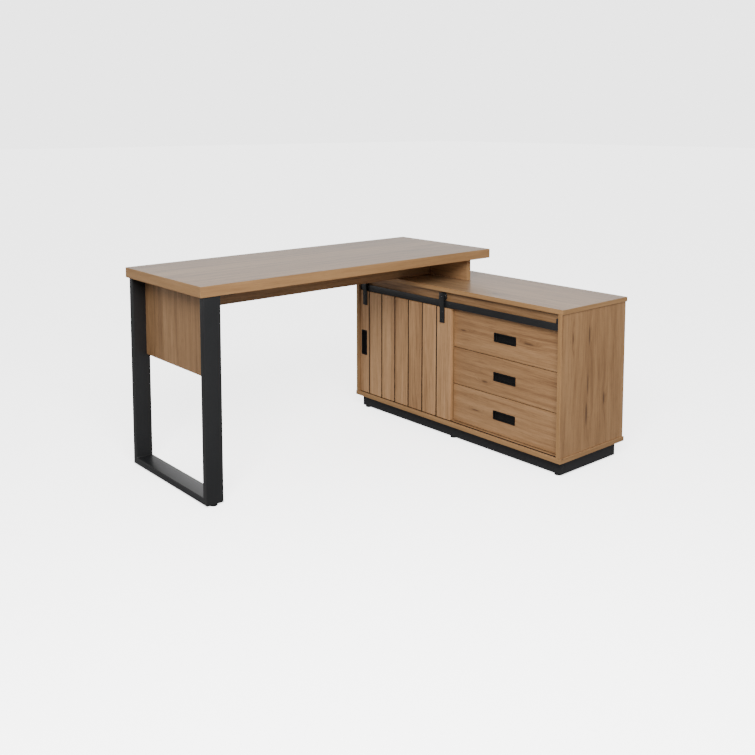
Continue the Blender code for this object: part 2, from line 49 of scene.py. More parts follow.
FLOOR_REACH = 40
FLOOR_GLOW = 2.4
FLOOR_WHITE = 2.1
FLOOR_BOUNCE = 0.30
floor_shape = bmesh.new()
bmesh.ops.create_grid(floor_shape, x_segments=1, y_segments=1, size=FLOOR_REACH)
floor_mesh = bpy.data.meshes.new("studio_floor")
floor_shape.to_mesh(floor_mesh)
floor_shape.free()
floor = bpy.data.objects.new("studio_floor", floor_mesh)
bpy.context.scene.collection.objects.link(floor)
floor_look = bpy.data.materials.new("studio_floor")
floor_look.use_nodes = True
floor_nodes, floor_links = floor_look.node_tree.nodes, floor_look.node_tree.links
floor_nodes.clear()
glowing_floor = floor_nodes.new("ShaderNodeEmission")
glowing_floor.inputs["Strength"].default_value = FLOOR_GLOW
white_floor = floor_nodes.new("ShaderNodeBsdfDiffuse")
white_floor.inputs["Color"].default_value = (FLOOR_WHITE, FLOOR_WHITE, FLOOR_WHITE, 1)
seen_floor = floor_nodes.new("ShaderNodeAddShader")
lit_floor = floor_nodes.new("ShaderNodeBsdfDiffuse")
lit_floor.inputs["Color"].default_value = (FLOOR_BOUNCE, FLOOR_BOUNCE, FLOOR_BOUNCE, 1)
floor_choice = floor_nodes.new("ShaderNodeMixShader")
floor_links.new(glowing_floor.outputs[0], seen_floor.inputs[0])
floor_links.new(white_floor.outputs[0], seen_floor.inputs[1])
floor_links.new(floor_nodes.new("ShaderNodeLightPath").outputs["Is Camera Ray"],
                floor_choice.inputs[0])
floor_links.new(lit_floor.outputs[0], floor_choice.inputs[1])
floor_links.new(seen_floor.outputs[0], floor_choice.inputs[2])
floor_links.new(floor_choice.outputs[0],
                floor_nodes.new("ShaderNodeOutputMaterial").inputs["Surface"])
floor_mesh.materials.append(floor_look)

ROOM_LIGHT = 0.46
WALL_LIGHT = 1.05
SEEN_LIGHT = 3.3
WALL_RIGHT, WALL_AWAY = 0.60, 0.80
WALL_FADE = 0.5
WALL_CROWN, WALL_FULL = 0.75, 0.15
room = bpy.data.worlds.new("white_room")
room.use_nodes = True
room_nodes, room_links = room.node_tree.nodes, room.node_tree.links


def room_node(kind, settings, inputs, output=0):
    """A node of the room's light, its inputs numbers or other nodes' outputs."""
    node = room_nodes.new(kind)
    for key, value in settings.items():
        setattr(node, key, value)
    for key, value in inputs.items():
        if isinstance(value, bpy.types.NodeSocket):
            room_links.new(value, node.inputs[key])
        else:
            node.inputs[key].default_value = value
    return node.outputs[output]


way = room_node("ShaderNodeTexCoord", {}, {}, "Generated")
way_right, way_away, way_up = room_node("ShaderNodeSeparateXYZ", {}, {0: way}).node.outputs
right_share = room_node("ShaderNodeMath", {"operation": "MULTIPLY"}, {0: way_right, 1: WALL_RIGHT})
far_corner = room_node("ShaderNodeMath", {"operation": "MULTIPLY_ADD"},
                       {0: way_away, 1: WALL_AWAY, 2: right_share})
behind = room_node("ShaderNodeMapRange", {"interpolation_type": "SMOOTHSTEP"},
                   {"Value": far_corner, "From Min": -WALL_FADE, "From Max": WALL_FADE})
low_down = room_node("ShaderNodeMapRange", {"interpolation_type": "SMOOTHSTEP"},
                     {"Value": way_up, "From Min": WALL_CROWN, "From Max": WALL_FULL})
wall = room_node("ShaderNodeMath", {"operation": "MULTIPLY"}, {0: behind, 1: low_down})
glow = room_node("ShaderNodeMath", {"operation": "MULTIPLY_ADD"},
                 {0: wall, 1: WALL_LIGHT, 2: ROOM_LIGHT})
seen = room_node("ShaderNodeLightPath", {}, {}, "Is Camera Ray")
strength = room_node("ShaderNodeMix", {"data_type": "FLOAT"}, {0: seen, 2: glow, 3: SEEN_LIGHT})
room_links.new(strength, room_nodes["Background"].inputs["Strength"])
room_nodes["Background"].inputs["Color"].default_value = (1.0, 1.0, 1.0, 1)
bpy.context.scene.world = room

PANEL_PLACE = Vector((-1.9, -2.2, 2.4))
PANEL_TARGET = Vector((0.1, 0.0, 0.4))
panel_lamp = bpy.data.lights.new("key_panel", "AREA")
panel_lamp.shape = "RECTANGLE"
panel_lamp.size = 2.4
panel_lamp.size_y = 1.4
panel_lamp.energy = 155
panel = bpy.data.objects.new("key_panel", panel_lamp)
panel.location = PANEL_PLACE
panel.rotation_euler = (PANEL_TARGET - PANEL_PLACE).to_track_quat("-Z", "Y").to_euler()
bpy.context.scene.collection.objects.link(panel)

FACING = radians(40.8)
TILT = radians(5.6)
camera_data = bpy.data.cameras.new("camera")
camera_data.lens = 44.2
camera_data.sensor_width = 36
camera_data.shift_y = -0.22
camera_data.clip_end = 100
camera = bpy.data.objects.new("camera", camera_data)
camera.location = (-2.276, -2.619, 1.304)
camera.rotation_euler = (pi / 2 - TILT, 0, -FACING)
bpy.context.scene.collection.objects.link(camera)
bpy.context.scene.camera = camera

# ---- Desk top ----
# A 38 mm chipboard slab faced with oak-look laminate and edged all round with a matching
# plastic band. The print shows long staves, fine streaks, pores and a few soft knots. The
# slab rests on the leg frame, the apron and the cross support.


class Reading:
    """A number or colour that varies over a surface; arithmetic on it adds the maths nodes."""

    def __init__(self, finish, socket):
        self.finish = finish
        self.socket = socket

    def maths(self, operation, first, second=0.0):
        return self.finish.node("ShaderNodeMath", {"operation": operation}, {0: first, 1: second})

    def __add__(self, other):
        return self.maths("ADD", self, other)

    def __radd__(self, other):
        return self.maths("ADD", other, self)

    def __sub__(self, other):
        return self.maths("SUBTRACT", self, other)

    def __rsub__(self, other):
        return self.maths("SUBTRACT", other, self)

    def __mul__(self, other):
        return self.maths("MULTIPLY", self, other)

    def __rmul__(self, other):
        return self.maths("MULTIPLY", other, self)

    def step(self, low, high):
        """0 below low, 1 above high and smooth between; high below low turns it round."""
        flip = high < low
        ends = (high, low) if flip else (low, high)
        shape = self.finish.node(
            "ShaderNodeMapRange", {"interpolation_type": "SMOOTHSTEP"},
            {"Value": self, "From Min": ends[0], "From Max": ends[1]})
        return 1.0 - shape if flip else shape


class Finish:
    """A material on one Principled shader."""

    def __init__(self, name, roughness=0.5, metallic=0.0):
        self.material = bpy.data.materials.new(name)
        self.material.use_nodes = True
        self.nodes = self.material.node_tree.nodes
        self.links = self.material.node_tree.links
        self.shader = self.nodes["Principled BSDF"]
        self.set("Roughness", roughness)
        self.set("Metallic", metallic)

    def set(self, name, value):
        """A number, a colour or a reading for one of the shader's sockets."""
        self.feed(self.shader.inputs[name], value)

    def feed(self, socket, value):
        if isinstance(value, Reading):
            self.links.new(value.socket, socket)
        elif isinstance(value, tuple) and len(value) == 3 and socket.type == "RGBA":
            socket.default_value = (*value, 1.0)
        else:
            socket.default_value = value

    def node(self, kind, settings=None, inputs=None, output=0):
        """Any other node: its type, its settings, then the values or links of its sockets."""
        node = self.nodes.new(kind)
        for key, value in (settings or {}).items():
            if key == "stops":
                while len(node.color_ramp.elements) < len(value):
                    node.color_ramp.elements.new(0.5)
                for element, (position, colour) in zip(node.color_ramp.elements, value):
                    element.position = position
                    element.color = (*colour, 1.0)
            else:
                setattr(node, key, value)
        for key, value in (inputs or {}).items():
            self.feed(node.inputs[key], value)
        return Reading(self, node.outputs[output])

    def place(self, *scale):
        """Places on the piece in metres, scaled along each axis."""
        start = self.node("ShaderNodeTexCoord", {}, {}, "Object")
        return self.node("ShaderNodeMapping", {}, {"Vector": start, "Scale": scale})

    def noise(self, vector, detail=3.0, roughness=0.55):
        return self.node("ShaderNodeTexNoise", {"noise_dimensions": "3D"},
                         {"Vector": vector, "Scale": 1.0, "Detail": detail, "Roughness": roughness})

    def blend(self, amount, first, second):
        """One colour over another."""
        return self.node("ShaderNodeMix", {"data_type": "RGBA"},
                         {0: amount, 6: first, 7: second}, 2)

    def bump(self, height, distance, strength):
        """Relief, its full height given in metres."""
        self.set("Normal", self.node("ShaderNodeBump", {},
                                     {"Height": height, "Distance": distance,
                                      "Strength": strength}))


STAVES = 11.6
OAK_LIGHT = (0.470, 0.280, 0.140)
OAK_MIDDLE = (0.355, 0.199, 0.092)
OAK_DARK = (0.200, 0.102, 0.043)


def oak(name, tone, contrast, knots, spots=(), gloss=0.0, figures=44.0):
    """Oak-look laminate; the grain runs along the U of a board's UV map, which is in metres."""
    look = Finish(name)
    uv = look.node("ShaderNodeTexCoord", {}, {}, "UV")

    def scaled(vector, u, v):
        return look.node("ShaderNodeMapping", {}, {"Vector": vector, "Scale": (u, v, 1.0)})

    def scattered(output):
        """Lone knots at random places: how far the nearest one is, or its own number."""
        return look.node("ShaderNodeTexVoronoi", {"voronoi_dimensions": "2D", "feature": "F1"},
                         {"Vector": scaled(uv, 2.1, 5.2), "Scale": 1.0, "Randomness": 0.9}, output)

    away = scattered(0)
    chosen = look.node("ShaderNodeSeparateColor", {}, {0: scattered(1)}).step(1.0 - knots * 0.5,
                                                                              1.02 - knots * 0.5)
    near_knot = away.step(0.22, 0.02) * chosen
    heart = away.step(0.050, 0.015) * chosen
    for u, v, radius, stretch in spots:
        offset = look.node("ShaderNodeVectorMath", {"operation": "SUBTRACT"}, {0: uv, 1: (u, v, 0)})
        offset = look.node("ShaderNodeVectorMath", {"operation": "LENGTH"},
                           {0: scaled(offset, 1.0 / (radius * stretch), 1.0 / radius)}, 1)
        near_knot = near_knot.maths("MAXIMUM", near_knot, offset.step(3.2, 0.6))
        heart = heart.maths("MAXIMUM", heart, offset.step(1.1, 0.4))
    wander = look.noise(scaled(uv, 1.3, 4.0), 2.0)
    sheet = look.node("ShaderNodeVectorMath", {"operation": "ADD"}, {
        0: uv, 1: look.node("ShaderNodeCombineXYZ", {}, {
            "Y": (wander - 0.5) * 0.028 + near_knot * 0.012})})

    def along(u, v, detail=3.0, roughness=0.55):
        """Noise with its own scale along and across the grain."""
        return look.noise(scaled(sheet, u, v), detail, roughness)

    across = look.node("ShaderNodeSeparateXYZ", {}, {0: sheet}, 1)
    stave = look.node("ShaderNodeTexWhiteNoise", {"noise_dimensions": "1D"},
                      {"W": across.maths("FLOOR", across * STAVES)})
    figure = along(2.2, figures, 4.0, 0.62)
    streak = along(6.0, 160.0, 5.0, 0.70)
    fibre = along(18.0, 700.0, 2.0, 0.6)
    ring = across.maths("SINE", (across * 190.0) + along(1.5, 6.0, 1.0) * 26.0)
    dash = along(8.0, 210.0, 2.0, 0.5).step(0.60, 0.74)
    vessel = along(34.0, 900.0, 1.0, 0.4).step(0.60, 0.72)
    shade = ((stave - 0.5) * 0.26 + (figure - 0.5) * 0.95 + (streak - 0.5) * 1.00 + ring * 0.035
             + (fibre - 0.5) * 0.35 - dash * 0.16) * contrast + 0.52
    light, middle, dark = (tuple(c * t for c, t in zip(colour, tone))
                           for colour in (OAK_LIGHT, OAK_MIDDLE, OAK_DARK))
    wood = look.node("ShaderNodeValToRGB", {"stops": ((0.16, dark), (0.50, middle), (0.84, light))},
                     {0: shade})
    wood = look.blend(near_knot * 0.35, wood, dark)
    wood = look.blend(heart * 0.75, wood, tuple(c * 0.40 for c in dark))
    wood = look.blend(vessel * 0.40 * contrast, wood, tuple(c * 0.6 for c in dark))
    look.set("Base Color", wood)
    look.set("Roughness", 0.42 + (streak - 0.5) * 0.10 + vessel * 0.10)
    look.set("Coat Weight", gloss)
    look.set("Coat Roughness", 0.32)
    look.bump(streak * 0.4 + fibre * 0.35 - vessel * 0.8, 0.00012, 0.6)
    return look.material


PRINT_RUN, PRINT_CROSS, PRINT_SIDE = 3.17, 1.43, 0.21


def print_place(own, run, cross, thin):
    """Where a spot lies on the print that a board of this number, and side, is cut from."""
    return run + PRINT_RUN * own, cross + PRINT_CROSS * own + PRINT_SIDE * thin


def span(shape, axis):
    """How far a shape reaches along an axis."""
    places = [vert.co[axis] for vert in shape.verts]
    return max(places) - min(places)


def lay_grain(shape, grain, number, plank=None):
    """UVs in metres: U along the grain, or along a face's length where the grain ends on it."""
    layer = shape.loops.layers.uv.verify()
    for face in shape.faces:
        normal = face.normal
        thin = max(range(3), key=lambda axis: abs(normal[axis]))
        flat = [axis for axis in range(3) if axis != thin]
        run = grain
        if grain == thin:
            run = max(flat, key=lambda axis: span(shape, axis))
        cross = flat[0] if flat[1] == run else flat[1]
        own = number + (plank(face.calc_center_median()) if plank else 0)
        for loop in face.loops:
            loop[layer].uv = print_place(own, loop.vert.co[run], loop.vert.co[cross], thin)


def make(name, shape, looks, replaced, body="desk", smooth=None):
    """Turns a finished bmesh into a piece that rides on a body and stands for its CAD nodes."""
    mesh = bpy.data.meshes.new(name)
    shape.to_mesh(mesh)
    shape.free()
    for look in looks:
        mesh.materials.append(look)
    if smooth:
        mesh.shade_smooth()
        mesh.set_sharp_from_angle(angle=smooth)
    piece = bpy.data.objects.new(name, mesh)
    bpy.context.scene.collection.objects.link(piece)
    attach(piece, body)
    if replaced:
        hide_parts(*replaced)


def ease(shape, edges, offset, segments):
    """Rounds edges over."""
    bmesh.ops.bevel(shape, geom=edges, offset=offset, segments=segments, profile=0.5,
                    affect="EDGES", material=-1)


def block(low, high, eased, segments=2):
    """A box between two corners with its edges eased."""
    low, high = Vector(low), Vector(high)
    shape = bmesh.new()
    bmesh.ops.create_cube(shape, size=1)
    bmesh.ops.scale(shape, verts=shape.verts, vec=high - low)
    bmesh.ops.translate(shape, verts=shape.verts, vec=(low + high) / 2)
    ease(shape, shape.edges, eased, segments)
    return shape


X, Y, Z = 0, 1, 2
EDGE_EASE = 0.0012
SLAB_EASE = 0.0015


def band_edges(shape):
    """Gives the narrow faces round a board the second finish."""
    thin = min((X, Y, Z), key=lambda axis: span(shape, axis))
    for face in shape.faces:
        if abs(face.normal[thin]) < 0.9:
            face.material_index = 1


def board(node, grain, look, number, eased=EDGE_EASE):
    """A laminated board with banded edges in the place of a plain CAD board."""
    shape = block(*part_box(node), eased)
    lay_grain(shape, grain, number)
    band_edges(shape)
    make(node + "_laminate", shape, [look, oak_band], [node])


oak_band = oak("oak_edge_band", (0.99, 0.96, 0.85), 0.55, 0.0)
# The desk top's tone is cooler and greyer than the other boards': painted sheen, standing in for
# the whitish glancing reflection on the flat top.
oak_top_painted_sheen = oak("oak_desk_top_painted_sheen", (0.86, 0.92, 0.99), 1.25, 0.3, gloss=0.30)
board("desk_top", X, oak_top_painted_sheen, 1, SLAB_EASE)

# ---- Boards under the desk top ----
# The end panel stands between the leg's two posts with its grain upright. The apron runs the
# length of the desk and the cross support carries the slab on the cabinet; both lie flat-grained.

oak_upright = oak("oak_upright", (0.97, 0.95, 0.93), 1.0, 0.25)
# The end panel's print is darker than the other uprights': painted shade, for the shade under the
# desk top's overhang between the posts.
oak_end_panel_painted_shade = oak("oak_end_panel_painted_shade", (0.88, 0.86, 0.84), 1.0, 0.2)
oak_long = oak("oak_long", (0.97, 0.96, 0.95), 0.95, 0.1)
board("leg_end_panel", Z, oak_end_panel_painted_shade, 2)
board("apron_panel", X, oak_long, 3)
board("support_panel", Y, oak_long, 4)

# ---- Leg frame ----
# Flat steel tube, mitred, welded into a U and powder coated black. A screw tab is welded to
# the top of each post, and a screw holds each tab to the desk top.


def powder_coat(name, colour, roughness):
    """Satin black powder coat with its fine orange-peel skin."""
    look = Finish(name)
    peel = look.noise(look.place(900, 900, 900), 2.0)
    cloud = look.noise(look.place(9, 9, 9), 3.0)
    look.set("Base Color", look.blend(cloud.step(0.3, 0.7) * 0.35, colour,
                                      tuple(c * 1.35 for c in colour)))
    look.set("Roughness", roughness + (cloud - 0.5) * 0.10)
    look.bump(peel, 0.00005, 0.7)
    return look.material


def prism(outline, reach):
    """A flat outline drawn straight out into a solid."""
    shape = bmesh.new()
    face = shape.faces.new([shape.verts.new(corner) for corner in outline])
    drawn = bmesh.ops.extrude_face_region(shape, geom=[face])
    bmesh.ops.translate(shape, vec=reach, verts=[part for part in drawn["geom"]
                                                 if isinstance(part, bmesh.types.BMVert)])
    bmesh.ops.recalc_face_normals(shape, faces=shape.faces)
    return shape


TUBE_WIDTH, TUBE_THICKNESS, TUBE_CORNER = 0.066, 0.025, 0.0022
TAB_HALF_WIDTH, TAB_THICKNESS, TAB_WELD, TAB_EASE = 0.0105, 0.003, 0.001, 0.0006
SCREW_RADIUS, SCREW_FLATNESS, SCREW_FROM_END = 0.0048, 0.45, 0.015
black_steel = powder_coat("black_powder_coat", (0.011, 0.0115, 0.0125), 0.36)
leg_low, leg_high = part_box("leg_frame")
front, rear, base, crown = leg_low.y, leg_high.y, leg_low.z, leg_high.z
leg_shape = prism([(leg_low.x, y, z) for y, z in (
    (front, crown), (front, base), (rear, base), (rear, crown),
    (rear - TUBE_THICKNESS, crown), (rear - TUBE_THICKNESS, base + TUBE_THICKNESS),
    (front + TUBE_THICKNESS, base + TUBE_THICKNESS), (front + TUBE_THICKNESS, crown))],
    (TUBE_WIDTH, 0, 0))
ease(leg_shape, leg_shape.edges, TUBE_CORNER, 4)
make("leg_frame_coated", leg_shape, [black_steel], ["leg_frame"],
     smooth=radians(35))
tab_underside = crown - TAB_THICKNESS
for end, y in (("front", front + TUBE_THICKNESS / 2), ("rear", rear - TUBE_THICKNESS / 2)):
    tab = block((leg_low.x + TUBE_WIDTH - TAB_WELD, y - TAB_HALF_WIDTH, tab_underside),
                (leg_high.x, y + TAB_HALF_WIDTH, crown), TAB_EASE)
    make("leg_tab_" + end, tab, [black_steel], [])
    screw = bmesh.new()
    bmesh.ops.create_uvsphere(screw, u_segments=20, v_segments=10, radius=SCREW_RADIUS)
    bmesh.ops.scale(screw, verts=screw.verts, vec=(1, 1, SCREW_FLATNESS))
    bmesh.ops.translate(screw, verts=screw.verts,
                        vec=(leg_high.x - SCREW_FROM_END, y, tab_underside))
    make("leg_tab_screw_" + end, screw, [black_steel], [], smooth=radians(40))

# ---- Cabinet carcass ----
# 18 mm boards with oak-look laminate and banded edges: top, bottom with a routed guide groove,
# two sides, header, partition and shelf, held by dowels and cams. The back is thin hardboard
# with the same print.

BACK_EASE = 0.0005
# The cabinet top's tone is cooler and greyer than the uprights': painted sheen, standing in for the
# whitish glancing reflection on the flat top.
oak_flat_painted_sheen = oak("oak_cabinet_top_painted_sheen", (0.90, 0.95, 1.02), 1.15, 0.3, gloss=0.31)
board("cabinet_top", Y, oak_flat_painted_sheen, 5)
board("cabinet_side_left", Z, oak_upright, 6)
END_BOARD = 7
end_front_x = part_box("cabinet_side_right")[0].x
end_marks = ((0.165, 0.512, 0.0065, 7), (0.155, 0.215, 0.0070, 8), (0.262, 0.255, 0.0065, 4.5),
             (0.067, 0.514, 0.0040, 7), (0.160, 0.330, 0.0045, 12))
oak_end = oak("oak_cabinet_end", (1.02, 0.99, 0.93), 0.85, 0.0, [
    (*print_place(END_BOARD, height, end_front_x + inwards, Y), width, stretch)
    for inwards, height, width, stretch in end_marks], figures=24.0)
board("cabinet_side_right", Z, oak_end, END_BOARD)
# The header's print is darker than the other boards': painted shade, for the shade under the
# cabinet top's overhang and above the rail.
oak_header_painted_shade = oak("oak_header_painted_shade", (0.82, 0.80, 0.78), 0.95, 0.0)
board("cabinet_header", Y, oak_header_painted_shade, 8)
board("cabinet_shelf", Y, oak_long, 9)
board("cabinet_back", Z, oak_upright, 10, BACK_EASE)

# Painted shade: a near-black brown on the faces inside the routed grooves, standing in for the
# shade down in those recesses.
groove_shade = Finish("groove_painted_shade", 0.6)
groove_shade_cloud = groove_shade.noise(groove_shade.place(60, 60, 60))
groove_shade.set("Base Color", groove_shade.blend(groove_shade_cloud, (0.016, 0.010, 0.006), (0.034, 0.021, 0.012)))


def paint_groove_shade(shape, belongs):
    """Gives a groove's faces the third finish, a near-black painted shade."""
    for face in shape.faces:
        if belongs(face.calc_center_median()):
            face.material_index = 2


def slice_at(shape, axis, places):
    """Cuts straight through a shape at places along an axis."""
    for place in places:
        point, normal = Vector(), Vector()
        point[axis], normal[axis] = place, 1
        geometry = shape.verts[:] + shape.edges[:] + shape.faces[:]
        bmesh.ops.bisect_plane(shape, geom=geometry, plane_co=point, plane_no=normal, dist=0.000001)


def sink(shape, axis, sign, low, high, depth):
    """Pushes in the faces of one side that lie inside a window."""
    for other in (axis_number for axis_number in range(3) if axis_number != axis):
        slice_at(shape, other, (low[other], high[other]))

    def inside(face):
        centre = face.calc_center_median()
        lies = all(low[o] < centre[o] < high[o] for o in range(3) if o != axis)
        return lies and face.normal[axis] * sign > 0.9

    window = [face for face in shape.faces if inside(face)]
    pushed = bmesh.ops.extrude_face_region(shape, geom=window)
    moved = [part for part in pushed["geom"] if isinstance(part, bmesh.types.BMVert)]
    bmesh.ops.delete(shape, geom=[face for face in window if face.is_valid], context="FACES_ONLY")
    way = Vector()
    way[axis] = -sign * depth
    bmesh.ops.translate(shape, verts=moved, vec=way)


GUIDE_HALF, GUIDE_DEPTH, GUIDE_END_PLAY = 0.005, 0.0068, 0.0005
SPOT_PLAY = 0.0001
bottom_low, bottom_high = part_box("cabinet_bottom")
pin_low, pin_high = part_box("door_guide_pin_left")
guide_x = (pin_low.x + pin_high.x) / 2
guide_near_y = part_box("cabinet_side_right")[1].y + GUIDE_END_PLAY
guide_far_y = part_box("cabinet_side_left")[0].y - GUIDE_END_PLAY
bottom = block(bottom_low, bottom_high, EDGE_EASE)
sink(bottom, Z, 1, (guide_x - GUIDE_HALF, guide_near_y, 0), (guide_x + GUIDE_HALF, guide_far_y, 0),
     GUIDE_DEPTH)
lay_grain(bottom, Y, 11)
band_edges(bottom)
# The guide groove's faces get the painted shade.
paint_groove_shade(bottom, lambda spot: abs(spot.x - guide_x) < GUIDE_HALF + SPOT_PLAY
             and SPOT_PLAY < bottom_high.z - spot.z < GUIDE_DEPTH + SPOT_PLAY)
make("cabinet_bottom_laminate", bottom, [oak_long, oak_band, groove_shade.material], ["cabinet_bottom"])

BOARD_PLAY = 0.0003
partition_low, partition_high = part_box("cabinet_partition")
header_low, header_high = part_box("cabinet_header")
notch_x, notch_z = header_high.x + BOARD_PLAY, header_low.z - BOARD_PLAY
partition = prism([(x, partition_low.y, z) for x, z in (
    (partition_low.x, partition_low.z), (partition_high.x, partition_low.z),
    (partition_high.x, partition_high.z), (notch_x, partition_high.z),
    (notch_x, notch_z), (partition_low.x, notch_z))],
    (0, partition_high.y - partition_low.y, 0))
lay_grain(partition, Z, 12)
band_edges(partition)
make("cabinet_partition_laminate", partition, [oak_upright, oak_band], ["cabinet_partition"])

# ---- Plinth ----
# Four chipboard strips with a black laminate, set back from the cabinet's front, ends and rear
# and held to its bottom by cams.

PLINTH_EASE = 0.001
plinth_look = Finish("black_laminate")
plinth_grain = plinth_look.noise(plinth_look.place(300, 25, 300))
plinth_look.set("Base Color", plinth_look.blend(plinth_grain, (0.010, 0.010, 0.011),
                                                (0.017, 0.017, 0.019)))
plinth_look.set("Roughness", 0.50 + plinth_grain * 0.10)
plinth_look.bump(plinth_grain, 0.00008, 0.5)
for place in ("front", "rear", "left", "right"):
    make("plinth_%s_laminate" % place, block(*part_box("plinth_" + place), PLINTH_EASE),
         [plinth_look.material], ["plinth_" + place])

# ---- Feet and glides ----
# A black moulded pad on a threaded shank under each corner and the middle of the plinth, and
# two under the leg frame. Each one turns on its own thread to level the desk.


def moulded(name, colour, roughness, shine=0.5):
    """Black moulded plastic with a fine spark-eroded texture."""
    look = Finish(name)
    look.set("Specular IOR Level", shine)
    grain = look.noise(look.place(1400, 1400, 1400), 1.0)
    look.set("Base Color", look.blend(grain * 0.4, colour, tuple(c * 1.5 for c in colour)))
    look.set("Roughness", roughness + (grain - 0.5) * 0.12)
    look.bump(grain, 0.00003, 0.6)
    return look.material


black_plastic = moulded("black_plastic", (0.008, 0.008, 0.0085), 0.46)


def spun(profile, steps, axis, centre):
    """A closed profile of (radius, height) points spun right round an axis."""
    shape = bmesh.new()
    ring = [shape.verts.new((radius, 0, height)) for radius, height in profile]
    edges = [shape.edges.new(pair) for pair in zip(ring, ring[1:])]
    if profile[0][0] > 0 or profile[-1][0] > 0:
        edges.append(shape.edges.new((ring[-1], ring[0])))
    bmesh.ops.spin(shape, geom=ring + edges, cent=(0, 0, 0), axis=(0, 0, 1), angle=tau,
                   steps=steps, use_merge=True)
    bmesh.ops.remove_doubles(shape, verts=shape.verts, dist=0.000002)
    bmesh.ops.recalc_face_normals(shape, faces=shape.faces)
    if axis == X:
        bmesh.ops.rotate(shape, verts=shape.verts, cent=(0, 0, 0),
                         matrix=Matrix.Rotation(pi / 2, 3, "Y"))
    bmesh.ops.translate(shape, verts=shape.verts, vec=centre)
    return shape


SHANK = 0.004
pads = {"cabinet_foot_%s_%s" % (row, column): "foot_%s_%s" % (row, column)
        for row in ("front", "rear") for column in ("left", "middle", "right")}
pads.update({"leg_glide_" + end: "glide_" + end for end in ("front", "rear")})
for node, body in pads.items():
    low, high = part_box(node)
    reach = (high.x - low.x) / 2
    profile = [(0, high.z), (SHANK - 0.0006, high.z), (SHANK, high.z - 0.0006), (SHANK, 0.0062),
               (reach - 0.0008, 0.0060), (reach, 0.0052), (reach, 0.0016),
               (reach - 0.0004, 0.0006), (reach - 0.0014, 0.0), (0, 0.0)]
    pad = spun(profile, 40, Z, ((low.x + high.x) / 2, (low.y + high.y) / 2, 0))
    make(node + "_moulded", pad, [black_plastic], [node], body, radians(40))

# ---- Door rail ----
# A flat black steel bar screwed through turned spacers to the header, with a rubber stop block
# at each end. The low heads of its screws stand on its face.

RAIL_EASE, STOP_EASE = 0.0008, 0.0015
rail_low, rail_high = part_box("slide_rail")
make("slide_rail_coated", block(rail_low, rail_high, RAIL_EASE, 3), [black_steel], ["slide_rail"],
     smooth=radians(35))
for place in ("left", "middle", "right"):
    low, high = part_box("rail_spacer_" + place)
    middle_y, middle_z = (low.y + high.y) / 2, (low.z + high.z) / 2
    half = (high.x - low.x) / 2
    sleeve = spun([(0.0025, half), (0.0046, half), (0.005, half - 0.0004), (0.005, 0.0004 - half),
                   (0.0046, -half), (0.0025, -half)], 32, X, (low.x + half, middle_y, middle_z))
    make("rail_spacer_%s_turned" % place, sleeve, [black_steel], ["rail_spacer_" + place],
         smooth=radians(40))
    head = spun([(0, 0.0009), (0.0012, 0.0009), (0.0015, 0.0004), (0.0040, 0.0006), (0.0044, 0.0),
                 (0.0040, -0.0006), (0, -0.0006)], 32, X, (rail_low.x - 0.0001, middle_y, middle_z))
    make("rail_screw_" + place, head, [black_steel], [], smooth=radians(40))
for place in ("left", "right"):
    low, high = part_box("rail_stop_" + place)
    make("rail_stop_%s_rubber" % place, block(low, high, STOP_EASE, 3), [black_plastic],
         ["rail_stop_" + place], smooth=radians(35))

# ---- Let-in pulls ----
# A black moulded plastic cup with a flat rim, pushed into a routed pocket from the front. All
# four are the same, and the door's stands upright.

PULL_PROUD = 0.0015
PULL_RIM = 0.0050
PULL_WALL = 0.0015
PULL_CORNER, CUP_CORNER, RIM_EASE = 0.0030, 0.0012, 0.0006
RIM_SLOPE = 0.0004
CUP_STEPS = ((PULL_RIM - RIM_SLOPE, 0), (RIM_SLOPE, RIM_SLOPE), (0.0003, 0.0074),
             (0.0018, 0.0018), (0.0020, 0.0003))
CUP_LINES_END = 0.0075


def pull_corner_lines(shape, length, nearest):
    """Edges that run along a pull's corners, at least so far in from its outline."""
    lines = []
    for edge in shape.edges:
        first, last = (vert.co for vert in edge.verts)
        same_corner = first.x * last.x > 0 and first.y * last.y > 0
        inset = min(length / 2 - abs(spot.x) for spot in (first, last))
        if same_corner and inset > nearest:
            lines.append(edge)
    return lines


